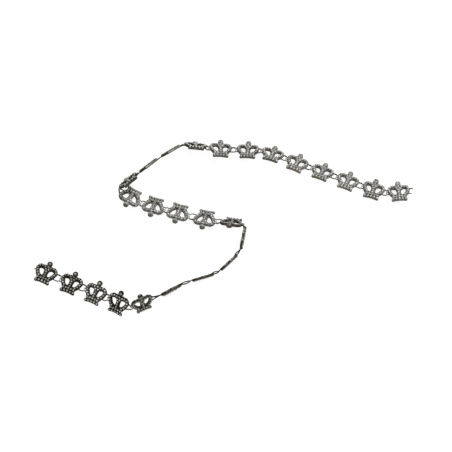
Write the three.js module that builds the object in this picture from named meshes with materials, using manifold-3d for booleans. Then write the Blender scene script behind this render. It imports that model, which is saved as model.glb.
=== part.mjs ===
// A length of rhinestone crown trim: small cast crowns, each set with stones and hung on the next
// one by a loop of wire, lying on a table in an open Z with the crowns up on edge in both turns.
// Millimetres, +Z up, the table at z = 0. A crown's own frame has x to its right, y towards its
// finial and z out of its face, with the back of the casting at z = 0.

import * as THREE from 'three';
import { mergeVertices } from 'three/addons/utils/BufferGeometryUtils.js';
import Module from 'manifold-3d';

const wasm = await Module();
wasm.setup();

// The crown casting
const crownWidth = 18.6;
const crownHeight = 20;
const castingThickness = 1.4;
const finialRadius = 2.25;
const baseLength = 12.4;
const baseRowHeight = 2.2;
const baseArch = 0.6;
const baseCorner = 0.4;

// The stones and their seat
const stonePitch = 2.4;
const stoneHalfWidth = 1.02;
const stoneHeight = 0.9;
const jointHeightShare = 0.4;
const finialStoneHalfWidth = 1.6;
const seatClearance = 0.3;

// The wire loop and the lug that it turns in
const wireRadius = 0.25;
const boreClearance = 0.18;
const lugWall = 0.3;
const lugLength = 2.2;
const lugStandOff = 0.62;
const upperWireShare = 0.6;
const lowerWireShare = 0.35;
const wireAnchorDepth = 0.8;
const stubLength = 2.4;

// The chain as it lies: the clear gap between two crowns, and for each crown from the right-hand
// end its heading, its bank towards the finial, both in degrees, and the gap before it as a share
const crownGap = 3.3;
const lieShares = [
  [184, 15, 0.8],
  [163, 12, 0.75],
  [159.5, 18, 1.05],
  [158.5, 22, 1.05],
  [157.5, 19, 1.05],
  [162.5, 28, 0.8],
  [176.5, 23, 0.6],
  [177.5, 23, 1.15],
  [176.5, 50, 0.6],
  [213, 69, 0.85],
  [218.5, 71, 1.15],
  [220, 56, 0.85],
  [332, -14, 1.15],
  [343.5, -12, 0.6],
  [343.5, -13, 0.65],
  [346.5, -15, 1.2],
  [347, -45, 1.2],
  [259, -92, 1.3],
  [224.5, -106, 2.2],
  [198, -112, 1.85],
  [209.5, -107, 2.85],
  [204, -72, 2.1],
  [149.5, -40, 1],
  [152.5, -14, 0.8],
  [156, -1, 1.05],
  [156.5, 0, 1.2],
];

// Derived sizes
const halfWidth = crownWidth / 2;
const upperRowTop = 2 * baseRowHeight;
const finialHeight = crownHeight - finialRadius;
const lugRadius = wireRadius + boreClearance;
const lugDepth = 2 * (lugRadius + lugWall);
const lugAxisX = -halfWidth - lugStandOff;
const upperWireHeight = upperWireShare * crownHeight;
const lowerWireHeight = lowerWireShare * crownHeight;
const wireMiddle = (upperWireHeight + lowerWireHeight) / 2;
const wireLevel = lugDepth / 2;
const stoneBase = castingThickness + seatClearance;
const overrun = crownWidth;

const silver = new THREE.MeshStandardMaterial({ color: 0x9c9c98, roughness: 0.28, metalness: 0.95 });
const crystal = new THREE.MeshStandardMaterial({ color: 0xd6dadd, roughness: 0.08, metalness: 0.2 });

// A geometry as a solid, and back
function solid(geometry) {
  const bare = geometry.index ? geometry.clone() : geometry;
  bare.deleteAttribute('normal');
  bare.deleteAttribute('uv');
  const merged = mergeVertices(bare);
  const mesh = new wasm.Mesh({
    numProp: 3,
    vertProperties: new Float32Array(merged.attributes.position.array),
    triVerts: new Uint32Array(merged.index.array),
  });
  return new wasm.Manifold(mesh);
}

function geometryOf(body) {
  const { vertProperties, triVerts } = body.getMesh();
  const geometry = new THREE.BufferGeometry();
  geometry.setAttribute('position', new THREE.BufferAttribute(vertProperties, 3));
  geometry.setIndex(new THREE.BufferAttribute(triVerts, 1));
  return geometry;
}

function closedBody(points, faces) {
  const geometry = new THREE.BufferGeometry();
  geometry.setAttribute('position', new THREE.Float32BufferAttribute(points.flatMap((p) => p.toArray()), 3));
  geometry.setIndex(faces.flat());
  return solid(geometry);
}

// Half of the outline from the lower base row up to the finial, as shares of half the width and of
// the height above that row: each bend has a control point and an end
const neckShare = [0.56, 0.03];
const flankShare = [0.66, 0.135];
const sideBendShares = [[0.92, 0.29], [1, 0.5]];
const shoulderBendShares = [[1, 0.69], [0.6, 0.775]];
const notchBendShares = [[0.41, 0.745], [0.31, 0.775]];
const finialNeckAngle = THREE.MathUtils.degToRad(-52);

// The two leaf-shaped windows, as shares of the same sizes
const windowShares = {
  low: [0.2, 0.24],
  outerBend: [[0.52, 0.2], [0.73, 0.54]],
  upperBend: [[0.42, 0.64], [0.205, 0.535]],
  innerBend: [[0.11, 0.37], [0.2, 0.24]],
};

function crownPoint([acrossShare, upShare], side = 1) {
  return [side * acrossShare * halfWidth, baseRowHeight + upShare * (crownHeight - baseRowHeight)];
}

function outlineSide(side) {
  const half = new THREE.Path();
  const end = (side * baseLength) / 2;
  const corner = end - side * baseCorner;
  half.moveTo(0, baseArch);
  half.quadraticCurveTo(corner / 2, baseArch, corner, 0);
  half.lineTo(end, baseRowHeight / 2);
  half.lineTo(corner, baseRowHeight);
  half.lineTo(...crownPoint(neckShare, side));
  half.lineTo(...crownPoint(flankShare, side));
  for (const [bend, stop] of [sideBendShares, shoulderBendShares, notchBendShares]) {
    half.quadraticCurveTo(...crownPoint(bend, side), ...crownPoint(stop, side));
  }
  return half.getPoints(bendSteps);
}

const bendSteps = 3;
const windowSteps = 2;
const finialSteps = 8;

function crownOutline() {
  const right = outlineSide(1);
  const left = outlineSide(-1).reverse();
  const finial = new THREE.Path();
  finial.absarc(0, finialHeight, finialRadius, finialNeckAngle, Math.PI - finialNeckAngle, false);
  const outline = new THREE.Shape([...right, ...finial.getPoints(finialSteps), ...left.slice(0, -1)]);
  for (const side of [1, -1]) {
    const hole = new THREE.Path();
    hole.moveTo(...crownPoint(windowShares.low, side));
    for (const [bend, end] of [windowShares.outerBend, windowShares.upperBend, windowShares.innerBend]) {
      hole.quadraticCurveTo(...crownPoint(bend, side), ...crownPoint(end, side));
    }
    outline.holes.push(hole);
  }
  return outline;
}

// The lug: a block on the crown's left edge with a bore along y
const boreSides = 6;

function bareCasting() {
  const plate = new THREE.ExtrudeGeometry(crownOutline(), {
    depth: castingThickness,
    bevelEnabled: false,
    curveSegments: windowSteps,
  });
  const lugReach = lugDepth / 2 + lugStandOff + wireAnchorDepth;
  const block = new THREE.BoxGeometry(lugReach, lugLength, lugDepth);
  block.translate(lugAxisX - lugDepth / 2 + lugReach / 2, wireMiddle, wireLevel);
  const bore = new THREE.CylinderGeometry(lugRadius, lugRadius, overrun, boreSides);
  bore.translate(lugAxisX, wireMiddle, wireLevel);
  return solid(plate).add(solid(block)).subtract(solid(bore));
}

// A wire through the given points, mitred at each bend
const wireSides = 4;

function wire(route) {
  const points = [];
  const faces = [];
  const heading = (a, b) => new THREE.Vector3().subVectors(b, a).normalize();
  let across = new THREE.Vector3(0, 0, 1);
  route.forEach((place, i) => {
    const into = i > 0 ? heading(route[i - 1], place) : heading(place, route[1]);
    const out = i < route.length - 1 ? heading(place, route[i + 1]) : into;
    const along = new THREE.Vector3().addVectors(into, out).normalize();
    across = across.clone().addScaledVector(into, -across.dot(into)).normalize();
    const beside = new THREE.Vector3().crossVectors(into, across);
    for (let k = 0; k < wireSides; k += 1) {
      const angle = (2 * Math.PI * k) / wireSides;
      const spoke = across.clone().multiplyScalar(Math.cos(angle)).addScaledVector(beside, Math.sin(angle));
      const slide = -spoke.dot(along) / into.dot(along);
      points.push(place.clone().addScaledVector(spoke.addScaledVector(into, slide), wireRadius));
    }
    across.addScaledVector(out, -across.dot(out)).normalize();
  });
  const last = (route.length - 1) * wireSides;
  for (let i = 0; i < route.length - 1; i += 1) {
    for (let k = 0; k < wireSides; k += 1) {
      const a = i * wireSides + k;
      const b = i * wireSides + ((k + 1) % wireSides);
      faces.push([a, b, b + wireSides], [a, b + wireSides, a + wireSides]);
    }
  }
  for (let k = 1; k < wireSides - 1; k += 1) {
    faces.push([0, k + 1, k], [last, last + k, last + k + 1]);
  }
  return closedBody(points, faces);
}

// A row of stones: a pyramid on each place, joined low between neighbours
function stoneRow(places, halfWidths) {
  const points = [];
  const faces = [];
  const joints = [];
  places.forEach((place, i) => {
    const next = places[i + 1] ?? beyond(places[i - 1], place);
    const width = Math.min(halfWidths[i], halfWidths[i + 1] ?? halfWidths[i]);
    if (i === 0) joints.push(joint(points, beyond(places[1], place), place, halfWidths[0]));
    points.push(new THREE.Vector3(place.x, place.y, stoneBase + stoneHeight));
    const top = points.length - 1;
    const a = joints[i];
    const b = joint(points, place, next, width);
    joints.push(b);
    faces.push([a.left, a.ridge, top], [a.left, top, b.left], [b.left, top, b.ridge]);
    faces.push([a.ridge, a.right, top], [a.right, b.right, top], [b.right, b.ridge, top]);
    faces.push([a.left, b.right, a.right], [a.left, b.left, b.right]);
  });
  const first = joints[0];
  const last = joints[joints.length - 1];
  faces.push([first.left, first.right, first.ridge], [last.left, last.ridge, last.right]);
  return closedBody(points, faces);
}

function beyond(from, to) {
  return new THREE.Vector2().subVectors(to, from).setLength(stonePitch).add(to);
}

function joint(points, from, to, halfWidth) {
  const middle = new THREE.Vector2().addVectors(from, to).multiplyScalar(0.5);
  const along = new THREE.Vector2().subVectors(to, from).normalize();
  const at = (offset, z) => {
    points.push(new THREE.Vector3(middle.x - along.y * offset, middle.y + along.x * offset, z));
    return points.length - 1;
  };
  return {
    left: at(halfWidth, stoneBase),
    right: at(-halfWidth, stoneBase),
    ridge: at(0, stoneBase + stoneHeight * jointHeightShare),
  };
}

// The two base rows as one block of pyramids that follows the arch of the base
const rowStones = 5;

function stoneBlock() {
  const points = [];
  const faces = [];
  const put = (across, height, z) => {
    const arch = baseArch * (1 - ((2 * across) / baseLength) ** 2);
    points.push(new THREE.Vector3(across, height + arch, z));
    return points.length - 1;
  };
  const lines = [];
  for (let i = 0; i <= rowStones; i += 1) {
    const across = (i - rowStones / 2) * stonePitch;
    lines.push({
      low: put(across, baseRowHeight / 2 - stoneHalfWidth, stoneBase),
      middle: put(across, baseRowHeight, stoneBase + stoneHeight * jointHeightShare),
      high: put(across, (3 * baseRowHeight) / 2 + stoneHalfWidth, stoneBase),
    });
  }
  for (let i = 0; i < rowStones; i += 1) {
    const across = (i - (rowStones - 1) / 2) * stonePitch;
    const a = lines[i];
    const b = lines[i + 1];
    const lower = put(across, baseRowHeight / 2, stoneBase + stoneHeight);
    const upper = put(across, (3 * baseRowHeight) / 2, stoneBase + stoneHeight);
    faces.push([a.low, b.low, lower], [b.low, b.middle, lower]);
    faces.push([b.middle, a.middle, lower], [a.middle, a.low, lower]);
    faces.push([a.middle, b.middle, upper], [b.middle, b.high, upper]);
    faces.push([b.high, a.high, upper], [a.high, a.middle, upper]);
    faces.push([a.low, a.high, b.high], [a.low, b.high, b.low]);
  }
  const first = lines[0];
  const last = lines[rowStones];
  faces.push([first.low, first.middle, first.high], [last.low, last.high, last.middle]);
  return closedBody(points, faces);
}

// The other stones: an arch on each side that starts above the block, with its places as shares
// like the outline's, and a middle column that ends in the large stone of the finial
const archShares = [
  [0.505, 0.208],
  [0.685, 0.3],
  [0.8, 0.415],
  [0.865, 0.54],
  [0.745, 0.65],
  [0.51, 0.69],
  [0.27, 0.675],
];
const columnStones = 6;

function stoneSet() {
  const column = [];
  const columnWidths = [];
  const foot = upperRowTop + stonePitch / 4;
  for (let i = 0; i < columnStones; i += 1) {
    const step = (finialHeight - foot) / (columnStones - 1);
    column.push(new THREE.Vector2(0, foot + i * step));
    columnWidths.push(i < columnStones - 1 ? stoneHalfWidth : finialStoneHalfWidth);
  }
  const sets = [stoneBlock(), stoneRow(column, columnWidths)];
  for (const side of [1, -1]) {
    const arch = archShares.map((share) => new THREE.Vector2(...crownPoint(share, side)));
    sets.push(stoneRow(arch, arch.map(() => stoneHalfWidth)));
  }
  return wasm.Manifold.union(sets);
}

// The way a crown lies: its right, up and face directions from heading, bank and climb
function stance(heading, bank, climb) {
  const toRadians = THREE.MathUtils.degToRad;
  const travel = new THREE.Vector3(
    Math.cos(toRadians(heading)) * Math.cos(climb),
    Math.sin(toRadians(heading)) * Math.cos(climb),
    Math.sin(climb),
  );
  const side = new THREE.Vector3(Math.sin(toRadians(heading)), -Math.cos(toRadians(heading)), 0);
  const right = travel.clone().negate();
  const flatFace = new THREE.Vector3().crossVectors(right, side);
  const up = side.clone().multiplyScalar(Math.cos(toRadians(bank)));
  up.addScaledVector(flatFace, -Math.sin(toRadians(bank)));
  return new THREE.Matrix4().makeBasis(right, up, new THREE.Vector3().crossVectors(right, up));
}

const casting = bareCasting();
const stones = stoneSet();
const castingGeometry = geometryOf(casting);
const stonesGeometry = geometryOf(stones);

// How high a crown's wire line has to be for the crown to touch the table
const wireLine = new THREE.Vector3(0, wireMiddle, wireLevel);

function restingHeight(turn) {
  let lowest = Infinity;
  const point = new THREE.Vector3();
  for (const { attributes } of [castingGeometry, stonesGeometry]) {
    for (let i = 0; i < attributes.position.count; i += 1) {
      point.fromBufferAttribute(attributes.position, i).sub(wireLine).applyMatrix4(turn);
      lowest = Math.min(lowest, point.z);
    }
  }
  return -lowest;
}

const spans = lieShares.map(([, , share]) => crownWidth + share * crownGap);
const levels = lieShares.map(([heading, bank]) => restingHeight(stance(heading, bank, 0)));

// The climb of each crown follows the heights of its neighbours, then the chain is walked
const places = [];
lieShares.forEach(([heading, bank], i) => {
  const before = Math.max(i - 1, 0);
  const after = Math.min(i + 1, lieShares.length - 1);
  let run = 0;
  for (let k = before + 1; k <= after; k += 1) run += spans[k];
  const turn = stance(heading, bank, Math.asin((levels[after] - levels[before]) / run));
  const travel = new THREE.Vector3().setFromMatrixColumn(turn, 0).negate();
  const place = new THREE.Vector3();
  if (i > 0) {
    place.copy(places[i - 1].place);
    place.addScaledVector(places[i - 1].travel, spans[i] / 2);
    place.addScaledVector(travel, spans[i] / 2);
  }
  place.z = restingHeight(turn);
  places.push({ turn, travel, place });
});

function poseOf({ turn, place }) {
  const pose = turn.clone();
  const shifted = wireLine.clone().applyMatrix4(turn);
  pose.setPosition(place.clone().sub(shifted));
  return pose;
}

// A crown's wire loop runs from its right edge round the lug of the crown before it
function wireLoop(own, before) {
  const inOwn = own.clone().invert().multiply(before);
  const leg = [upperWireHeight, lowerWireHeight].map((height) =>
    new THREE.Vector3(lugAxisX, height, wireLevel).applyMatrix4(inOwn));
  const anchors = anchorPoints();
  return wire([anchors[0].inner, anchors[0].outer, leg[0], leg[1], anchors[1].outer, anchors[1].inner]);
}

// Where the two wires leave the crown's right edge
const upperEdgeShare = 1;
const lowerEdgeShare = 0.85;

function anchorPoints() {
  return [[upperEdgeShare, upperWireHeight], [lowerEdgeShare, lowerWireHeight]].map(([share, height]) => ({
    inner: new THREE.Vector3(share * halfWidth - wireAnchorDepth, height, wireLevel),
    outer: new THREE.Vector3(share * halfWidth + wireRadius, height, wireLevel),
  }));
}

function stub({ inner, outer }) {
  const end = outer.clone();
  end.x += stubLength;
  return wire([inner, end]);
}

const group = new THREE.Group();
places.forEach((lie, i) => {
  const number = String(i + 1).padStart(2, '0');
  const pose = poseOf(lie);
  let body = casting;
  if (i === 0) {
    for (const anchor of anchorPoints()) body = body.add(stub(anchor));
  } else {
    body = body.add(wireLoop(pose, poseOf(places[i - 1])));
  }
  const crown = new THREE.Group();
  crown.applyMatrix4(pose);
  const metal = new THREE.Mesh(geometryOf(body), silver);
  metal.name = `crown_${number}`;
  const sparkle = new THREE.Mesh(stonesGeometry, crystal);
  sparkle.name = `stones_${number}`;
  crown.add(metal, sparkle);
  group.add(crown);
});

// The middle of the chain's own box is put over the origin
group.updateMatrixWorld(true);
const middle = new THREE.Box3().setFromObject(group, true).getCenter(new THREE.Vector3());
for (const crown of group.children) {
  crown.position.x -= middle.x;
  crown.position.y -= middle.y;
}

export default group;
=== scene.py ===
# %% [markdown]
# A length of rhinestone crown trim. Twenty-six small cast crowns, each set with clear stones, hang on
# one another by loops of wire, and the length lies on a white table in an open Z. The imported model
# says where every crown lies and how it moves. This lesson dresses each crown in a cast silver body
# with cups and claws, faceted stones, and two uneven wires.

import math

import bpy
import numpy as np
from mathutils import Matrix, Vector


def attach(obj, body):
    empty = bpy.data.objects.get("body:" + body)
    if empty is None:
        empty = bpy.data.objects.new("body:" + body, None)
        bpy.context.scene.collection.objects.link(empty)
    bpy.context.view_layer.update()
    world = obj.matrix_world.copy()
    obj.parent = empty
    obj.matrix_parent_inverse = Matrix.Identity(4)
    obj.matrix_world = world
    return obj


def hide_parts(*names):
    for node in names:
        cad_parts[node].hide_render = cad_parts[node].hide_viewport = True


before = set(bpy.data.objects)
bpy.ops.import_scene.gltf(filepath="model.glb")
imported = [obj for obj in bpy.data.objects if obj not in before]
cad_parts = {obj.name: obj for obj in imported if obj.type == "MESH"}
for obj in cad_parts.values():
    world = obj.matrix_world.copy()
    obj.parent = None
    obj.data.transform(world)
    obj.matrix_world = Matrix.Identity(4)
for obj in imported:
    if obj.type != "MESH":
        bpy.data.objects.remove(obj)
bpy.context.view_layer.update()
MM = 0.001
CROWNS = len([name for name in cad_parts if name.startswith("stones_")])
print("crowns in the chain:", CROWNS)

# %% [markdown]
# The picture is taken from the near side, looking down at 66 degrees with a long lens. A lens that is
# far away keeps the near and the far strand at nearly the same size, as they are in the photograph.
# One pixel of the picture covers about 0.8 mm of the chain.

# %% Camera
VIEW_ELEVATION = math.radians(66)
VIEW_DISTANCE = 3.0
PIXELS_ACROSS = 452
MM_PER_PIXEL = 0.8106
VIEW_WIDTH = PIXELS_ACROSS * MM_PER_PIXEL * MM
VIEW_TARGET = Vector((1.59, 2.09, 0)) * MM
SENSOR_WIDTH = 36

back_to_lens = Vector((0, -math.cos(VIEW_ELEVATION), math.sin(VIEW_ELEVATION)))
bpy.ops.object.select_all(action="DESELECT")
bpy.ops.object.camera_add(location=VIEW_TARGET + back_to_lens * VIEW_DISTANCE)
camera = bpy.context.object
camera.name = "table_camera"
camera.rotation_euler = (math.pi / 2 - VIEW_ELEVATION, 0, 0)
camera.data.sensor_width = SENSOR_WIDTH
camera.data.lens = SENSOR_WIDTH * VIEW_DISTANCE / VIEW_WIDTH
bpy.context.scene.camera = camera
bpy.context.scene.view_settings.view_transform = "Standard"
print("lens", round(camera.data.lens, 1), "mm")

# %% [markdown]
# Every crown has its own frame: x to its right, y towards its finial, z out of its face, with the
# flat back at z = 0. The model only has the crowns where they lie, so the frame is read back from
# the bed of stones. The two longest spans in that bed run from a corner of the base to the far
# corner of the finial stone, one on each side, and those four corners give all three directions.

# %% Where each crown lies
BED_CORNER_UP = 0.118 * MM
BED_LEVEL = 1.7 * MM
SAME_SPAN = 0.02 * MM
SAME_CORNER_DECIMALS = 7


def stand_of(number):
    """The matrix that puts crown-frame points where crown `number` lies."""
    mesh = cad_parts[f"stones_{number:02d}"].data
    corners = np.zeros(len(mesh.vertices) * 3)
    mesh.vertices.foreach_get("co", corners)
    corners = np.unique(corners.reshape(-1, 3).round(SAME_CORNER_DECIMALS), axis=0)
    spans = np.linalg.norm(corners[:, None] - corners[None], axis=2)
    pairs = np.argwhere(np.triu(spans) > spans.max() - SAME_SPAN)
    ends = sorted({int(i) for pair in pairs for i in pair})
    tips = min(((i, j) for i in ends for j in ends if i < j), key=lambda pair: spans[pair])
    left, right = (Vector(corners[i]) for i in ends if i not in tips)
    tip = (Vector(corners[tips[0]]) + Vector(corners[tips[1]])) / 2
    foot = (left + right) / 2
    up = (tip - foot).normalized()
    across = (right - left).normalized()
    face = across.cross(up)
    if face.dot(Vector(corners.mean(axis=0)) - foot) < 0:
        across, face = -across, -face
    place = Matrix((across, up, face)).transposed().to_4x4()
    place.translation = foot - up * BED_CORNER_UP - face * BED_LEVEL
    return place


stands = {number: stand_of(number) for number in range(1, CROWNS + 1)}
print("first crown stands at", [round(v / MM, 1) for v in stands[1].translation], "mm")

# %% [markdown]
# Small helpers for the bench. One deselects everything and picks up only the pieces it is given,
# because the loaded model starts out selected. Others join pieces into the first, read where the
# faces look and lie, select some of them, and write a number on each face.

# %% Bench helpers


def pick(*pieces):
    bpy.ops.object.select_all(action="DESELECT")
    for piece in pieces:
        piece.select_set(True)
    bpy.context.view_layer.objects.active = pieces[0]
    return pieces[0]


def join(name, pieces):
    whole = pick(*pieces)
    if len(pieces) > 1:
        bpy.ops.object.join()
    whole.name = name
    whole.data.name = name
    return whole


def apply_place(piece):
    pick(piece)
    bpy.ops.object.transform_apply(location=True, rotation=True, scale=True)
    return piece


def face_facts(mesh):
    """Normals and centres of all faces, as arrays."""
    normals = np.zeros(len(mesh.polygons) * 3)
    centres = np.zeros(len(mesh.polygons) * 3)
    mesh.polygons.foreach_get("normal", normals)
    mesh.polygons.foreach_get("center", centres)
    return normals.reshape(-1, 3), centres.reshape(-1, 3)


def choose_faces(piece, chosen):
    """Only the chosen faces of the piece are selected, in face mode, ready for edit operators."""
    pick(piece)
    bpy.context.tool_settings.mesh_select_mode = (False, False, True)
    piece.data.vertices.foreach_set("select", [False] * len(piece.data.vertices))
    piece.data.edges.foreach_set("select", [False] * len(piece.data.edges))
    piece.data.polygons.foreach_set("select", chosen)
    bpy.ops.object.mode_set(mode="EDIT")


def set_on_faces(mesh, name, values):
    """One number on each face, for a finish to read."""
    layer = mesh.attributes.get(name) or mesh.attributes.new(name, "FLOAT", "FACE")
    layer.data.foreach_set("value", np.asarray(values, np.float32))


def dip_in(piece, finish):
    """The piece gets this one finish all over."""
    piece.data.materials.clear()
    piece.data.materials.append(finish)


print("bench helpers ready")

# %% [markdown]
# The finishes. Cheap cast silver looks grey: bright on its rims, almost black in its recesses, which
# hold patina and painted shade, and on its side walls, which are painted shade. A number on every
# face says how much patina and painted shade it gets; the colour follows it and a fine cloudy noise.

# %% Cast silver
SILVER_TONES = [
    (0.1, (0.52, 0.51, 0.475)),
    (0.4, (0.265, 0.258, 0.235)),
    (0.75, (0.074, 0.065, 0.044)),
    (1.0, (0.034, 0.028, 0.015)),
]
SILVER_ROUGHNESS = [(0.3, (0.26,) * 3), (0.7, (0.5,) * 3)]
STAIN_STRENGTH = 0.35
STAIN_SCALE = 900
SILVER_GRAIN_SCALE = 4200
SILVER_GRAIN_DEPTH = 0.05 * MM
GRAIN_STRENGTH = 0.6


def shader(name):
    material = bpy.data.materials.new(name)
    material.use_nodes = True
    nodes = material.node_tree.nodes
    return material, nodes, material.node_tree.links, nodes["Principled BSDF"]


def cloud(nodes, links, scale, detail=4.0):
    """Cloudy noise on the piece's own coordinates, with features of about 1 / scale metres."""
    place = nodes.new("ShaderNodeTexCoord")
    noise = nodes.new("ShaderNodeTexNoise")
    noise.inputs["Scale"].default_value = scale
    noise.inputs["Detail"].default_value = detail
    links.new(place.outputs["Object"], noise.inputs["Vector"])
    return noise.outputs["Fac"]


def ramp(nodes, links, value, stops):
    made = nodes.new("ShaderNodeValToRGB")
    made.color_ramp.elements[0].position = stops[0][0]
    made.color_ramp.elements[1].position = stops[-1][0]
    for place, _ in stops[1:-1]:
        made.color_ramp.elements.new(place)
    for element, (_, tone) in zip(made.color_ramp.elements, stops):
        element.color = (*tone, 1)
    links.new(value, made.inputs["Fac"])
    return made.outputs["Color"]


def grained(nodes, links, surface, height, depth):
    bump = nodes.new("ShaderNodeBump")
    bump.inputs["Strength"].default_value = GRAIN_STRENGTH
    bump.inputs["Distance"].default_value = depth
    links.new(height, bump.inputs["Height"])
    links.new(bump.outputs["Normal"], surface.inputs["Normal"])


def blend_value(nodes, links, operation, first, second):
    """One operation on two values, each a number or an output, kept between 0 and 1."""
    made = nodes.new("ShaderNodeMath")
    made.operation = operation
    made.use_clamp = True
    for socket, value in zip(made.inputs, (first, second)):
        if isinstance(value, (int, float)):
            socket.default_value = value
        else:
            links.new(value, socket)
    return made.outputs["Value"]


def patina_and_shade_silver():
    material, nodes, links, surface = shader("cast_silver")
    # Each face's number darkens the colour: partly patina, partly painted shade.
    patina_and_shade = nodes.new("ShaderNodeAttribute")
    patina_and_shade.attribute_name = "patina_and_shade"
    clouds = cloud(nodes, links, STAIN_SCALE)
    stain = blend_value(nodes, links, "MULTIPLY", clouds, STAIN_STRENGTH)
    depth = blend_value(nodes, links, "ADD", patina_and_shade.outputs["Fac"], stain)
    links.new(ramp(nodes, links, depth, SILVER_TONES), surface.inputs["Base Color"])
    surface.inputs["Metallic"].default_value = 0.9
    surface.inputs["Specular IOR Level"].default_value = 0.2
    surface.inputs["Specular Tint"].default_value = (0.5, 0.5, 0.5, 1)
    links.new(ramp(nodes, links, clouds, SILVER_ROUGHNESS), surface.inputs["Roughness"])
    grain = cloud(nodes, links, SILVER_GRAIN_SCALE, 2.0)
    grained(nodes, links, surface, grain, SILVER_GRAIN_DEPTH)
    return material


cast_silver = patina_and_shade_silver()
print("finish", cast_silver.name)

# %% [markdown]
# Rhinestones are glass with a foil behind. Seen small, each one is a patchwork of light and dark
# facets. These glints are painted: each facet carries its own number for how bright its painted glint
# is, and the ramp turns it into a tone. A clear coat gives the wet gloss of glass over the foil.

# %% Foiled glass
GLASS_TONES = [
    (0.08, (0.02, 0.018, 0.013)),
    (0.35, (0.098, 0.092, 0.077)),
    (0.6, (0.275, 0.268, 0.244)),
    (0.85, (0.53, 0.52, 0.49)),
    (1.0, (0.9, 0.9, 0.9)),
]
GLASS_ROUGHNESS = [(0.35, (0.05,) * 3), (0.8, (0.2,) * 3)]
VEIL_STRENGTH = 0.16
VEIL_SCALE = 1500
HAZE_SCALE = 5200
GLASS_GRAIN_SCALE = 2600
GLASS_GRAIN_DEPTH = 0.01 * MM


def foiled_glass():
    material, nodes, links, surface = shader("foiled_glass")
    # The painted glint of each facet, with a faint cloudy veil, sets its tone.
    painted_glint = nodes.new("ShaderNodeAttribute")
    painted_glint.attribute_name = "painted_glint"
    clouds = cloud(nodes, links, VEIL_SCALE, 3.0)
    veil = blend_value(nodes, links, "MULTIPLY", clouds, VEIL_STRENGTH)
    lit = blend_value(nodes, links, "ADD", painted_glint.outputs["Fac"], veil)
    links.new(ramp(nodes, links, lit, GLASS_TONES), surface.inputs["Base Color"])
    surface.inputs["Metallic"].default_value = 0.45
    surface.inputs["Specular Tint"].default_value = (0.6, 0.6, 0.6, 1)
    haze = cloud(nodes, links, HAZE_SCALE, 2.0)
    links.new(ramp(nodes, links, haze, GLASS_ROUGHNESS), surface.inputs["Roughness"])
    surface.inputs["Coat Weight"].default_value = 0.25
    surface.inputs["Coat Roughness"].default_value = 0.03
    grain = cloud(nodes, links, GLASS_GRAIN_SCALE, 1.0)
    grained(nodes, links, surface, grain, GLASS_GRAIN_DEPTH)
    return material


glass = foiled_glass()
print("finish", glass.name)

# %% [markdown]
# The wire is dark drawn steel, rubbed bright only where its bar turns in a lug. The bar could be a
# piece with a finish of its own, but then the loop would show a joint in it. So a number on the
# faces says where the wire is worn, and one finish serves the whole loop.

# %% Drawn wire
WIRE_TONES = [
    (0.3, (0.008, 0.007, 0.006)),
    (0.55, (0.02, 0.019, 0.017)),
    (0.8, (0.05, 0.05, 0.046)),
    (1.0, (0.6, 0.6, 0.58)),
]
WIRE_ROUGHNESS = [(0.3, (0.45,) * 3), (0.7, (0.25,) * 3)]
WIRE_CLOUD_SCALE = 1800
WIRE_GRAIN_SCALE = 6000
WIRE_GRAIN_DEPTH = 0.03 * MM


def drawn_wire():
    material, nodes, links, surface = shader("drawn_wire")
    clouds = cloud(nodes, links, WIRE_CLOUD_SCALE)
    worn = nodes.new("ShaderNodeAttribute")
    worn.attribute_name = "worn"
    shine = blend_value(nodes, links, "ADD", clouds, worn.outputs["Fac"])
    links.new(ramp(nodes, links, shine, WIRE_TONES), surface.inputs["Base Color"])
    surface.inputs["Metallic"].default_value = 0.2
    surface.inputs["Specular IOR Level"].default_value = 0.1
    links.new(ramp(nodes, links, clouds, WIRE_ROUGHNESS), surface.inputs["Roughness"])
    grain = cloud(nodes, links, WIRE_GRAIN_SCALE, 2.0)
    grained(nodes, links, surface, grain, WIRE_GRAIN_DEPTH)
    return material


wire_steel = drawn_wire()
print("finish", wire_steel.name)

# %% [markdown]
# The body of a crown is one flat casting with two leaf-shaped windows. It could be cut out of a
# plate with booleans, but its edge is made of smooth bends, so the bends are walked first, as points
# on quadratic curves, and every part of the body is then drawn from the same points.

# %% The outline of a crown
HALF_WIDTH = 9.3
CROWN_HEIGHT = 20
ROW = 2.2
BASE_END = 6.45
BASE_CORNER = 1.2
BASE_ARCH = 0.6
BASE_ARCH_REACH = 2.9
FINIAL_RADIUS = 2.25
FINIAL_UP = CROWN_HEIGHT - FINIAL_RADIUS
NECK_ANGLE = math.radians(-52)
BEND_STEPS = 6


def body_point(across, up):
    """A point from its shares of the half width and of the height above the lower base row."""
    return Vector((across * HALF_WIDTH, ROW + up * (CROWN_HEIGHT - ROW)))


def walk_bends(start, bends):
    """Points from start through (control, end) pairs; a pair without a control is straight."""
    points = [Vector(start)]
    for control, end in bends:
        last, end = points[-1], Vector(end)
        if control is None:
            points.append(end)
            continue
        for i in range(1, BEND_STEPS + 1):
            t = i / BEND_STEPS
            points.append((1 - t) ** 2 * last + 2 * t * (1 - t) * Vector(control) + t * t * end)
    return points


RIGHT_SIDE = [
    ((BASE_ARCH_REACH, BASE_ARCH), (BASE_END - BASE_CORNER, 0)),
    ((BASE_END, 0), (BASE_END, ROW / 2)),
    ((BASE_END, ROW), (BASE_END - BASE_CORNER, ROW)),
    (None, body_point(0.56, 0.03)),
    (None, body_point(0.66, 0.135)),
    (body_point(0.92, 0.29), body_point(1, 0.5)),
    (body_point(1, 0.69), body_point(0.6, 0.775)),
    (body_point(0.41, 0.745), body_point(0.31, 0.775)),
]
WINDOW_FOOT = body_point(0.2, 0.24)
WINDOW_BENDS = [
    (body_point(0.52, 0.2), body_point(0.73, 0.54)),
    (body_point(0.42, 0.64), body_point(0.205, 0.535)),
    (body_point(0.11, 0.37), WINDOW_FOOT),
]


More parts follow.
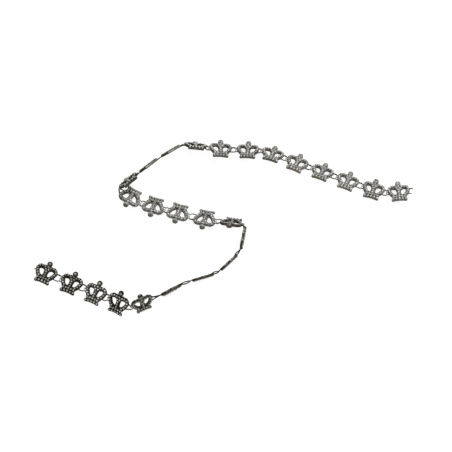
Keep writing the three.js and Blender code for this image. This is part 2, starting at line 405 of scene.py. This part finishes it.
def outer_line():
    """The whole outline, from the middle of the base to the right, over the finial and back."""
    right = walk_bends((0, BASE_ARCH), RIGHT_SIDE)
    steps = 2 * BEND_STEPS
    for i in range(steps + 1):
        angle = NECK_ANGLE + (math.pi / 2 - NECK_ANGLE) * i / steps
        around = Vector((math.cos(angle), math.sin(angle)))
        right.append(around * FINIAL_RADIUS + Vector((0, FINIAL_UP)))
    left = [Vector((-p.x, p.y)) for p in reversed(right[1:-1])]
    return right + left


def window_line(side):
    """The outline of the right window, or of the left one for a side of -1."""
    line = walk_bends(WINDOW_FOOT, WINDOW_BENDS)[:-1]
    return [Vector((side * p.x, p.y)) for p in line]


crown_line = outer_line()
window_lines = [window_line(1), window_line(-1)]
print("points on the outline:", len(crown_line))

# %% [markdown]
# Cast trim is a shell: a wall stands all round its edge and round each window, and a thinner web
# lies between the walls, sunk on the front and hollow on the back. The wall is a line swept with a
# tall round-edged section, drawn in by half its thickness, and the web is a filled flat curve.
# The web reaches a little into the windows, as a thin dark flange at the foot of their walls.

# %% Walls and web
THICKNESS = 1.4
WALL = 0.34
FLANGE = 0.45
WEB_LOW = 0.3
WEB_HIGH = 0.8
SHARPEST_MITRE = 0.5
SAME_PLACE = 0.001


def drawn_in(line, amount):
    """The closed line moved to its left by amount, with mitred corners."""
    moved = []
    for i, here in enumerate(line):
        into = (here - line[i - 1]).normalized()
        out = (line[(i + 1) % len(line)] - here).normalized()
        normal = Vector((-into.y - out.y, into.x + out.x)).normalized()
        mitre = max(SHARPEST_MITRE, normal.dot(Vector((-into.y, into.x))))
        moved.append(here + normal * amount / mitre)
    return moved


def line_curve(name, lines, dimensions):
    """One curve object made of closed straight-sided lines."""
    bpy.ops.object.select_all(action="DESELECT")
    bpy.ops.curve.primitive_nurbs_path_add()
    piece = bpy.context.object
    piece.name = name
    curve = piece.data
    curve.splines.clear()
    curve.dimensions = dimensions
    for line in lines:
        spline = curve.splines.new("POLY")
        spline.points.add(len(line) - 1)
        for point, place in zip(spline.points, line):
            point.co = (*place, 0, 1)
        spline.use_cyclic_u = True
    return piece


def cast_wall(line, side):
    wall = line_curve("wall", [drawn_in(line, side * WALL / 2)], "3D")
    wall.data.twist_mode = "Z_UP"
    wall.data.fill_mode = "FULL"
    wall.data.bevel_depth = WALL / 2
    wall.data.bevel_resolution = 1
    wall.data.extrude = THICKNESS / 2 - WALL / 2
    bpy.ops.object.convert(target="MESH")
    wall.location.z = THICKNESS / 2
    return apply_place(wall)


def cast_web():
    lines = [drawn_in(crown_line, WALL / 2)]
    lines += [drawn_in(line, side * FLANGE) for line, side in zip(window_lines, (1, -1))]
    web = line_curve("web", lines, "2D")
    web.data.fill_mode = "BOTH"
    web.data.extrude = (WEB_HIGH - WEB_LOW) / 2
    bpy.ops.object.convert(target="MESH")
    web.location.z = (WEB_HIGH + WEB_LOW) / 2
    return apply_place(web)


walls = [cast_wall(crown_line, 1), cast_wall(window_lines[0], -1), cast_wall(window_lines[1], 1)]
plate = join("plate", [cast_web(), *walls])
bpy.ops.object.mode_set(mode="EDIT")
bpy.ops.mesh.select_all(action="SELECT")
bpy.ops.mesh.remove_doubles(threshold=SAME_PLACE)
bpy.ops.mesh.normals_make_consistent(inside=False)
bpy.ops.object.mode_set(mode="OBJECT")
print("plate:", len(plate.data.polygons), "faces,", [round(v, 2) for v in plate.dimensions], "mm")

# %% [markdown]
# Each stone sits in its own round cup. The base has two rows of five that follow its arch, each arch
# has seven, and a column that widens to a pair leads up to the large stone of the finial.

# %% Where the stones sit
STONE_RADIUS = 0.9
CUP_RADIUS = 1.18
FINIAL_STONE_RADIUS = 1.28
FINIAL_CUP_RADIUS = 1.95
ARCH_STONES = [(4.7, 5.9), (6.37, 7.54), (7.44, 9.59), (8.0, 11.8)]
ARCH_STONES += [(6.93, 13.77), (4.74, 14.48), (2.5, 14.2)]
COLUMN_STONES = [(0, 6.15), (0, 8.2), (0, 10.3), (-1.2, 12.3), (1.2, 12.3), (0, 14.5)]
BASE_ROWS = [(1.25, 2.62), (3.6, 2.25)]
ROW_STONES = 5


def stone_places():
    places = []
    for row, pitch in BASE_ROWS:
        for i in range(ROW_STONES):
            x = (i - ROW_STONES // 2) * pitch
            arch = BASE_ARCH * (1 - (x / BASE_END) ** 2)
            places.append((x, row + arch))
    for side in (-1, 1):
        places += [(side * x, y) for x, y in ARCH_STONES]
    return places + COLUMN_STONES


small_places = stone_places()
finial_place = (0, FINIAL_UP)
print("stones on a crown:", len(small_places) + 1)

# %% [markdown]
# A cup is a short tube with a narrow lip. It starts as a cylinder; its top is inset to leave the lip
# and pushed down to leave the seat. Claws are small beads of metal that hold the stone's edge.

# %% One cup with its claws
CUP_FLOOR = 0.9
CUP_LIP = 1.95
SEAT_DEPTH = 0.35
SEAT_SLOPE = 0.03
CUP_SIDES = 14
CLAW_RADIUS = 0.2
CLAWS = 4
FINIAL_CLAWS = 6
END_ON = 0.9


def cup(radius, stone_radius, claws):
    bpy.ops.object.select_all(action="DESELECT")
    height = CUP_LIP - CUP_FLOOR
    bpy.ops.mesh.primitive_cylinder_add(
        vertices=CUP_SIDES, radius=radius, depth=height, location=(0, 0, CUP_FLOOR + height / 2)
    )
    body = apply_place(bpy.context.object)
    normals, _ = face_facts(body.data)
    choose_faces(body, normals[:, 2] > END_ON)
    bpy.ops.mesh.inset(thickness=radius - stone_radius, depth=0)
    bpy.ops.mesh.inset(thickness=SEAT_SLOPE, depth=-SEAT_DEPTH)
    bpy.ops.object.mode_set(mode="OBJECT")
    beads = []
    for i in range(claws):
        angle = math.pi / 4 + 2 * math.pi * i / claws
        reach = (radius + stone_radius) / 2
        place = (reach * math.cos(angle), reach * math.sin(angle), CUP_LIP)
        bpy.ops.object.select_all(action="DESELECT")
        bpy.ops.mesh.primitive_ico_sphere_add(subdivisions=1, radius=CLAW_RADIUS, location=place)
        beads.append(apply_place(bpy.context.object))
    return join("cup", [body, *beads])


def copies(master, name, places):
    """One joined mesh of the master at each place, and the master removed."""
    made = []
    for x, y in places:
        copy = bpy.data.objects.new(name, master.data.copy())
        bpy.context.scene.collection.objects.link(copy)
        copy.data.transform(Matrix.Translation((x, y, 0)))
        made.append(copy)
    bpy.data.objects.remove(master)
    return join(name, made)


cups = copies(cup(CUP_RADIUS, STONE_RADIUS, CLAWS), "cups", small_places)
large_cup = cup(FINIAL_CUP_RADIUS, FINIAL_STONE_RADIUS, FINIAL_CLAWS)
finial_cup = copies(large_cup, "finial_cup", [finial_place])
print("cups:", len(cups.data.polygons), "faces")

# %% [markdown]
# On its left edge a crown has a small round lug, through which the bar of the next crown's wire loop
# passes. It is cast on, so it is joined with the plate and the cups. Two eyes on short pegs hold the
# bar near its ends. Only a crown that carries a loop needs them, so they are a piece of their own.

# %% Lug and eyes
LUG_ACROSS = -9.92
LUG_UP = 9.5
LUG_LEVEL = 0.73
LUG_RADIUS = 0.5
LUG_LENGTH = 1.2
WIRE_HOLE = 0.34
LUG_NECK = (-9.45, -8.6)
LUG_NECK_RADII = (0.3, 0.4)
UPPER_WIRE_UP = 12.0
LOWER_WIRE_UP = 7.0
UPPER_EYE_UP = UPPER_WIRE_UP - 0.55
LOWER_EYE_UP = LOWER_WIRE_UP + 0.45
UPPER_PEG_END = -8.9
LOWER_PEG_END = -7.8
PEG_START = -9.6
EYE_RADIUS = 0.45
EYE_LENGTH = 0.3
RING_SIDES = 12


def tube_ring(radius, hole, length, place):
    """A short tube along y, made from a cylinder with both ends inset and bridged."""
    bpy.ops.object.select_all(action="DESELECT")
    bpy.ops.mesh.primitive_cylinder_add(
        vertices=RING_SIDES, radius=radius, depth=length, location=place, rotation=(math.pi / 2, 0, 0)
    )
    ring = apply_place(bpy.context.object)
    normals, _ = face_facts(ring.data)
    choose_faces(ring, abs(normals[:, 1]) > END_ON)
    bpy.ops.mesh.inset(thickness=radius - hole, depth=0)
    bpy.ops.mesh.bridge_edge_loops()
    bpy.ops.object.mode_set(mode="OBJECT")
    return ring


def rod(points, radii, name):
    """A round rod through the points, as a mesh."""
    bpy.ops.object.select_all(action="DESELECT")
    bpy.ops.curve.primitive_nurbs_path_add()
    piece = bpy.context.object
    curve = piece.data
    curve.splines.clear()
    curve.dimensions = "3D"
    curve.bevel_depth = 1
    curve.bevel_resolution = 1
    curve.use_fill_caps = True
    spline = curve.splines.new("POLY")
    spline.points.add(len(points) - 1)
    for point, place, radius in zip(spline.points, points, radii):
        point.co = (*place, 1)
        point.radius = radius
    bpy.ops.object.convert(target="MESH")
    piece.name = name
    return piece


lug_parts = [
    tube_ring(LUG_RADIUS, WIRE_HOLE, LUG_LENGTH, (LUG_ACROSS, LUG_UP, LUG_LEVEL)),
    rod([(across, LUG_UP, LUG_LEVEL) for across in LUG_NECK], LUG_NECK_RADII, "lug_neck"),
]
eye_parts = []
for peg_end, height in ((UPPER_PEG_END, UPPER_EYE_UP), (LOWER_PEG_END, LOWER_EYE_UP)):
    eye_parts.append(tube_ring(EYE_RADIUS, WIRE_HOLE, EYE_LENGTH, (LUG_ACROSS, height, LUG_LEVEL)))
    ends = [(across, height, LUG_LEVEL) for across in (PEG_START, peg_end)]
    eye_parts.append(rod(ends, (EYE_RADIUS, EYE_RADIUS), "peg"))
wire_eyes = join("wire_eyes", eye_parts)
casting = join("casting", [plate, cups, finial_cup, *lug_parts])
print("casting:", len(casting.data.polygons), "faces")

# %% [markdown]
# How dark each face of the casting is. Its side walls, the seats of the cups, the faces that look
# down and the outer end of the finial get painted shade, the sunk floor patina and painted shade, and
# the lips, claws and rim are worn bright. Each crown gets its own painted shade as well, most on the
# lower strand, so there its lips and claws are dark too. Where a crown stands on edge, the walls that
# look straight up are painted lighter, as if they caught the whole room.

# %% Patina and painted shade of the casting
WALL_PAINTED_SHADE = 0.64
FLOOR_PATINA_AND_SHADE = 0.6
LIP_RECESS = 0.08
BACK_PAINTED_SHADE = 0.35
LUG_RECESS = 0.0
EYE_RECESS = 0.9
FINIAL_END_PAINTED_SHADE = 0.5
UP_PAINTED_LIGHT = 0.55
UP_STARTS = 0.85
UP_RANGE = 0.15
FLAT = 0.8
LEVEL_SLACK = 0.1
LIP_DEPTH = 0.3
CAP_FROM = 0.3
TOP_CROWN_SHADE = 0.7
DEEP_CROWN_SHADE = 0.3
# Painted shade per crown: some on crowns in the turns and on edge, most on the lower strand.
CROWN_PAINTED_SHADE = {number: 0.0 for number in range(1, CROWNS + 1)}
CROWN_PAINTED_SHADE.update({2: 0.2, 9: 0.2, 10: 0.2, 11: 0.3, 12: 0.3, 13: 0.2, 17: 0.2})
CROWN_PAINTED_SHADE.update({18: 0.6, 19: 0.6, 20: 0.6, 21: 0.7, 22: 0.5})
CROWN_PAINTED_SHADE.update({23: 0.9, 24: 0.65, 25: 1.0, 26: 0.9})


def patina_and_shade_numbers(mesh, crown_shade, above):
    """`above` is the direction that points up from the table, in the crown's own frame."""
    normals, centres = face_facts(mesh)
    up = normals[:, 2]
    level = centres[:, 2]
    patina_and_shade = np.full(len(up), LIP_RECESS)
    # Painted shade on the side walls, on faces that look down and on the outer end of the finial;
    # patina and painted shade on the sunk floor.
    patina_and_shade[abs(up) < FLAT] = WALL_PAINTED_SHADE
    patina_and_shade[(up > FLAT) & (level < THICKNESS - LEVEL_SLACK)] = FLOOR_PATINA_AND_SHADE
    patina_and_shade[up < -FLAT] = BACK_PAINTED_SHADE
    patina_and_shade[(up < -FLAT) & (level > LEVEL_SLACK)] = WALL_PAINTED_SHADE
    patina_and_shade[centres[:, 1] > FINIAL_UP + CAP_FROM] = FINIAL_END_PAINTED_SHADE
    # Each crown's own painted shade, more of it on the top faces.
    on_top = level > THICKNESS - LIP_DEPTH
    patina_and_shade += np.where(on_top, TOP_CROWN_SHADE * crown_shade, DEEP_CROWN_SHADE * crown_shade)
    # Painted light on the walls that look straight up.
    painted_skylight = np.clip((normals @ np.array(above) - UP_STARTS) / UP_RANGE, 0, 1)
    patina_and_shade -= UP_PAINTED_LIGHT * np.where(abs(up) < FLAT, painted_skylight, 0)
    patina_and_shade[centres[:, 0] < -HALF_WIDTH] = LUG_RECESS
    return np.clip(patina_and_shade, 0, 1)


set_on_faces(wire_eyes.data, "patina_and_shade", np.full(len(wire_eyes.data.polygons), EYE_RECESS))
for piece in (casting, wire_eyes):
    dip_in(piece, cast_silver)
# Prints the crown that gets the most painted shade.
print("most tarnished crown:", max(CROWN_PAINTED_SHADE, key=CROWN_PAINTED_SHADE.get))

# %% [markdown]
# A stone is a brilliant cut: an eight-sided table on top, a crown of facets down to a sixteen-sided
# girdle, and a low band. The girdle is a cylinder whose top ring is bridged to the table's ring.

# %% One cut stone
GIRDLE_SIDES = 16
TABLE_SIDES = 8
TABLE_SHARE = 0.56
GIRDLE_LEVEL = 1.78
GIRDLE_BAND = 0.14
TABLE_LEVEL = 2.56


def cut_stone(name, radius):
    """One stone of this radius, standing over the origin."""
    bpy.ops.object.select_all(action="DESELECT")
    bpy.ops.mesh.primitive_cylinder_add(
        vertices=GIRDLE_SIDES, radius=radius, depth=GIRDLE_BAND, location=(0, 0, GIRDLE_LEVEL)
    )
    girdle = apply_place(bpy.context.object)
    bpy.ops.object.select_all(action="DESELECT")
    bpy.ops.mesh.primitive_circle_add(
        vertices=TABLE_SIDES,
        radius=radius * TABLE_SHARE,
        fill_type="NGON",
        location=(0, 0, TABLE_LEVEL),
    )
    table = apply_place(bpy.context.object)
    stone = join(name, [girdle, table])
    normals, centres = face_facts(stone.data)
    level = centres[:, 2]
    between = (level > GIRDLE_LEVEL) & (level < TABLE_LEVEL - LEVEL_SLACK)
    choose_faces(stone, (abs(normals[:, 2]) > END_ON) & between)
    bpy.ops.mesh.delete(type="ONLY_FACE")
    bpy.ops.object.mode_set(mode="OBJECT")
    ring = []
    for edge in stone.data.edges:
        heights = [stone.data.vertices[v].co.z for v in edge.vertices]
        ring.append(min(heights) > GIRDLE_LEVEL)
    bpy.ops.object.mode_set(mode="EDIT")
    bpy.ops.mesh.select_mode(type="EDGE")
    bpy.ops.mesh.select_all(action="DESELECT")
    bpy.ops.object.mode_set(mode="OBJECT")
    stone.data.edges.foreach_set("select", ring)
    bpy.ops.object.mode_set(mode="EDIT")
    bpy.ops.mesh.bridge_edge_loops()
    bpy.ops.mesh.select_all(action="SELECT")
    bpy.ops.mesh.normals_make_consistent(inside=False)
    bpy.ops.object.mode_set(mode="OBJECT")
    return stone


small_stones = copies(cut_stone("small_stones", STONE_RADIUS), "small_stones", small_places)
finial_stone = copies(cut_stone("finial_stone", FINIAL_STONE_RADIUS), "finial_stone", [finial_place])
for stones in (small_stones, finial_stone):
    dip_in(stones, glass)
print("faces of the small stones:", len(small_stones.data.polygons))

# %% [markdown]
# No two stones catch the light alike, and here that light is painted. Each facet's painted glint is
# drawn from a seeded generator, so that it comes out the same every time. Tables get a painted
# highlight, lighter than the facets round them, and the girdle band painted shade. A finial stone is
# calmer and deeper in tone than the small ones, and its facets that look outwards get painted shade,
# most of all on a crown with more painted shade. The stones of the crowns that stand on edge are seen
# from their sides; theirs and those of the lower strand get painted shade, their glints dimmed and
# evened out.

# %% Painted glints of the facets
PAINTED_GLINT_MIDDLE = 0.66
PAINTED_GLINT_SPREAD = 0.2
DIMMING_LOWERS = 0.3
DIMMING_CALMS = 0.15
TABLE_PAINTED_HIGHLIGHT = 0.1
TABLE_FLAT = 0.95
BAND_PAINTED_SHADE = 0.1
BAND_STEEP = 0.2
# Painted shade on the stones of the crowns that stand on edge and of the lower strand: their glints
# are dimmed.
PAINTED_GLINT_DIMMING = {9: 0.5, 12: 0.6, 17: 0.5, 21: 0.7, 22: 0.9, 23: 0.2, 24: 0.1, 25: 0.4, 26: 0.3}
SMALL_SHADE = 0.2
FINIAL_GLINT_DIMMING = 0.45
FINIAL_SHADE = 0.4
FINIAL_CROWN_SHADE = 0.6
FINIAL_SEEDS = 100


def painted_glint_numbers(mesh, seed, shade, dimming):
    """`shade` paints shade on what looks up the crown, and `dimming` lowers and evens out the painted
    glint.
    """
    normals, _ = face_facts(mesh)
    draw = np.random.default_rng(seed)
    spread = PAINTED_GLINT_SPREAD - DIMMING_CALMS * dimming
    painted_glint = PAINTED_GLINT_MIDDLE - DIMMING_LOWERS * dimming + draw.normal(0, spread, len(normals))
    # Painted highlight on the tables, and painted shade on the facets that look up the crown and on
    # the girdle band.
    painted_glint += np.where(normals[:, 2] > TABLE_FLAT, TABLE_PAINTED_HIGHLIGHT, 0)
    painted_glint -= shade * np.clip(normals[:, 1], 0, 1)
    painted_glint[abs(normals[:, 2]) < BAND_STEEP] = BAND_PAINTED_SHADE
    return np.clip(painted_glint, 0, 1)


first_painted_glint = painted_glint_numbers(small_stones.data, 1, SMALL_SHADE, 0)
print("fire of the first facets:", first_painted_glint[:4].round(2))

# %% [markdown]
# Each finished piece is copied to every crown. The place goes into the copy's own mesh and its
# object stays at the origin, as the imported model's objects do. Then it rides on that crown's body.

# %% Dress every crown
MILLIMETRES = Matrix.Scale(MM, 4)


def set_down(master, name, number):
    """A copy of the piece on its crown, riding on that crown's body."""
    piece = bpy.data.objects.new(f"{name}_{number:02d}", master.data.copy())
    bpy.context.scene.collection.objects.link(piece)
    piece.data.name = piece.name
    piece.data.transform(stands[number] @ MILLIMETRES)
    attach(piece, f"link_{number:02d}")
    return piece


for number in range(1, CROWNS + 1):
    small_painted_glint = painted_glint_numbers(small_stones.data, number, SMALL_SHADE, PAINTED_GLINT_DIMMING.get(number, 0))
    set_on_faces(small_stones.data, "painted_glint", small_painted_glint)
    # A crown's painted shade also darkens the outward facets of its finial.
    shade = FINIAL_SHADE + FINIAL_CROWN_SHADE * CROWN_PAINTED_SHADE[number]
    large_painted_glint = painted_glint_numbers(finial_stone.data, FINIAL_SEEDS + number, shade, FINIAL_GLINT_DIMMING)
    set_on_faces(finial_stone.data, "painted_glint", large_painted_glint)
    above = stands[number].row[2][:3]
    set_on_faces(casting.data, "patina_and_shade", patina_and_shade_numbers(casting.data, CROWN_PAINTED_SHADE[number], above))
    body = set_down(casting, "casting", number)
    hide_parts(f"crown_{number:02d}")
    stones = set_down(small_stones, "small_stones", number)
    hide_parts(f"stones_{number:02d}")
    top = set_down(finial_stone, "finial_stone", number)
    if number < CROWNS:
        eyes = set_down(wire_eyes, "wire_eyes", number)
for master in (casting, wire_eyes, small_stones, finial_stone):
    bpy.data.objects.remove(master)
print("dressed", CROWNS, "crowns")

# %% [markdown]
# The wires. From each crown's right edge a thick upper wire and a thin lower one run to the crown
# before it and join in a bar through its lug. The upper wire is drawn tight. The lower one is a
# little too long, so it bows, each by its own seeded amount. In the right-hand turn the two wires of
# a loop are twisted, so they bow to opposite sides of the crown's face.

# %% Wire loops
UPPER_RADIUS = 0.62
LOWER_RADIUS = 0.48
BAR_RADIUS = 0.26
BAR_INSET = 0.3
BAR_REACH = 0.4
BAR_MARGIN = 0.2
BAR_SHINE = 0.5
UPPER_WANDER = 0.08
LOWER_WANDER = 0.1
SLACK_SHARE = 0.09
WIRE_SEEDS = 500
SPREAD = {18: 0.5, 19: 0.9, 20: 0.9, 21: 0.9, 22: 0.6}
BOW_STEPS = 6
UPPER_ANCHOR = (8.5, UPPER_WIRE_UP, LUG_LEVEL)
LOWER_ANCHOR = (7.1, LOWER_WIRE_UP, LUG_LEVEL)


def bowed(start, end, bow):
    """Points from start to end that swing out by bow in the middle and back."""
    points = []
    for i in range(BOW_STEPS + 1):
        share = i / BOW_STEPS
        points.append(start.lerp(end, share) + bow * math.sin(math.pi * share))
    return points


def worn_faces(mesh, corners):
    """The bar between the corners is rubbed bright in its lug, and the rest of the wire is not."""
    _, centres = face_facts(mesh)
    first, second = (np.array(corner) for corner in corners)
    length = np.linalg.norm(second - first)
    along = (second - first) / length
    reach = (centres - first) @ along
    away = np.linalg.norm(centres - first - reach[:, None] * along, axis=1)
    bar = (away < BAR_REACH) & (reach > BAR_MARGIN) & (reach < length - BAR_MARGIN)
    set_on_faces(mesh, "worn", np.where(bar, BAR_SHINE, 0))


def wire_loop(number):
    """The loop of this crown, which turns in the lug of the crown before it."""
    own = stands[number]
    to_own = own.inverted() @ stands[number - 1]
    draw = np.random.default_rng(WIRE_SEEDS + number)
    corners = [
        (to_own @ Vector((LUG_ACROSS * MM, height * MM, LUG_LEVEL * MM))) / MM
        for height in (UPPER_WIRE_UP, LOWER_WIRE_UP)
    ]
    inward = (corners[1] - corners[0]).normalized() * BAR_INSET
    spread = SPREAD.get(number, 0)
    upper_swing = Vector((0, draw.normal(0, UPPER_WANDER), spread))
    upper = bowed(Vector(UPPER_ANCHOR), corners[0], upper_swing)
    slack = (Vector(LOWER_ANCHOR) - corners[1]).length * SLACK_SHARE
    droop = -abs(draw.normal(slack, slack / 2))
    lower_swing = Vector((0, droop, draw.normal(0, LOWER_WANDER) - spread))
    lower = bowed(corners[1], Vector(LOWER_ANCHOR), lower_swing)
    route = [*upper[:-1], corners[0] + inward, corners[1] - inward, *lower[1:]]
    radii = [UPPER_RADIUS] * (len(upper) - 1)
    radii += [BAR_RADIUS] * 2
    radii += [LOWER_RADIUS] * (len(lower) - 1)
    loop = rod(route, radii, f"wire_loop_{number:02d}")
    dip_in(loop, wire_steel)
    for face in loop.data.polygons:
        face.use_smooth = True
    worn_faces(loop.data, corners)
    loop.data.transform(own @ MILLIMETRES)
    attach(loop, f"link_{number:02d}")
    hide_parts(f"crown_{number:02d}")
    return loop


loops = [wire_loop(number) for number in range(2, CROWNS + 1)]
print("wire loops:", len(loops))

# %% [markdown]
# The first crown was cut off a longer length, so its two wires end as short stubs. Each is a plain
# rod that tapers a little towards its cut end, made with the same helper as the loops.

# %% Cut stubs
UPPER_STUB_END = (11.85, UPPER_WIRE_UP, LUG_LEVEL)
LOWER_STUB_END = (10.45, LOWER_WIRE_UP, LUG_LEVEL)
STUB_TAPER = 0.8


def cut_stub(name, anchor, end, radius):
    """A short tapering end of wire on the first crown."""
    stub = rod([anchor, end], (radius, radius * STUB_TAPER), name)
    dip_in(stub, wire_steel)
    stub.data.transform(stands[1] @ MILLIMETRES)
    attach(stub, "link_01")
    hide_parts("crown_01")
    return stub


cut_stub("upper_stub", UPPER_ANCHOR, UPPER_STUB_END, UPPER_RADIUS)
cut_stub("lower_stub", LOWER_ANCHOR, LOWER_STUB_END, LOWER_RADIUS)
print("stubs cut")

# %% [markdown]
# A plain white table, and soft light from a pale room. The table and the room are white where they
# are seen straight on or in the metal and glass. The table also takes the chain's soft shadow. When
# a loop is bent downwards the chain dips under the table, so seen straight on the table is mostly a
# clear veil with the white room behind it, and what has dipped under still shows.

# %% Table and room
TABLE_SIZE = 8.0
TABLE_DROP = 0.05 * MM
TABLE_WHITE = 0.8
TABLE_THINNED = 0.5
TABLE_ROUGHNESS = 0.9
TABLE_VEIL = 0.86
TABLE_GLOW = 0.75
ROOM_LEVEL = 0.6


def straight_on(nodes):
    """1 for what is seen directly."""
    return nodes.new("ShaderNodeLightPath").outputs["Is Camera Ray"]


def mirrored(nodes, links):
    """1 for what is seen in metal or through glass."""
    path = nodes.new("ShaderNodeLightPath")
    in_metal = path.outputs["Is Glossy Ray"]
    through_glass = path.outputs["Is Transmission Ray"]
    return blend_value(nodes, links, "MAXIMUM", in_metal, through_glass)


def seen(nodes, links):
    """1 for what is seen in any of these ways, and 0 for what only lights or shades."""
    return blend_value(nodes, links, "MAXIMUM", straight_on(nodes), mirrored(nodes, links))


def white_table():
    material, nodes, links, surface = shader("white_table")
    thinned = blend_value(nodes, links, "MULTIPLY", straight_on(nodes), TABLE_THINNED)
    white = blend_value(nodes, links, "SUBTRACT", TABLE_WHITE, thinned)
    links.new(white, surface.inputs["Base Color"])
    surface.inputs["Roughness"].default_value = TABLE_ROUGHNESS
    surface.inputs["Specular IOR Level"].default_value = 0
    veil = nodes.new("ShaderNodeBsdfTransparent")
    clear = blend_value(nodes, links, "MULTIPLY", straight_on(nodes), TABLE_VEIL)
    links.new(clear, veil.inputs["Color"])
    glow = nodes.new("ShaderNodeEmission")
    bright = blend_value(nodes, links, "MULTIPLY", mirrored(nodes, links), TABLE_GLOW)
    links.new(bright, glow.inputs["Strength"])
    whole = surface.outputs["BSDF"]
    for layer in (veil.outputs["BSDF"], glow.outputs["Emission"]):
        both = nodes.new("ShaderNodeAddShader")
        links.new(whole, both.inputs[0])
        links.new(layer, both.inputs[1])
        whole = both.outputs["Shader"]
    links.new(whole, nodes["Material Output"].inputs["Surface"])
    return material


bpy.ops.object.select_all(action="DESELECT")
bpy.ops.mesh.primitive_plane_add(size=TABLE_SIZE, location=(0, 0, -TABLE_DROP))
table = bpy.context.object
table.name = "white_table"
table.data.materials.append(white_table())

world = bpy.data.worlds.new("pale_room")
world.use_nodes = True
room = world.node_tree
extra = blend_value(room.nodes, room.links, "MULTIPLY", seen(room.nodes, room.links), 1 - ROOM_LEVEL)
level = blend_value(room.nodes, room.links, "ADD", extra, ROOM_LEVEL)
room.links.new(level, room.nodes["Background"].inputs["Strength"])
room.nodes["Background"].inputs["Color"].default_value = (1, 1, 1, 1)
bpy.context.scene.world = world
print("room level", ROOM_LEVEL)

# %% [markdown]
# One large soft lamp, like a window beyond the upper right of the picture. It gives the facets their
# brightest points and lets the shadow fall gently to the lower left. Several small lamps would
# sparkle more, but each would throw a hard shadow of its own.

# %% Lamps
WINDOW_PLACE = (0.7, 0.5, 0.9)
WINDOW_SIZE = 0.8
WINDOW_WATTS = 9


def soft_lamp(name, place, size, watts):
    """A square lamp that looks at the middle of the chain."""
    bpy.ops.object.select_all(action="DESELECT")
    bpy.ops.object.light_add(type="AREA", location=place)
    lamp = bpy.context.object
    lamp.name = name
    lamp.data.size = size
    lamp.data.energy = watts
    lamp.rotation_euler = (-Vector(place)).to_track_quat("-Z", "Y").to_euler()
    return lamp


soft_lamp("window_light", WINDOW_PLACE, WINDOW_SIZE, WINDOW_WATTS)
print("lamps lit")
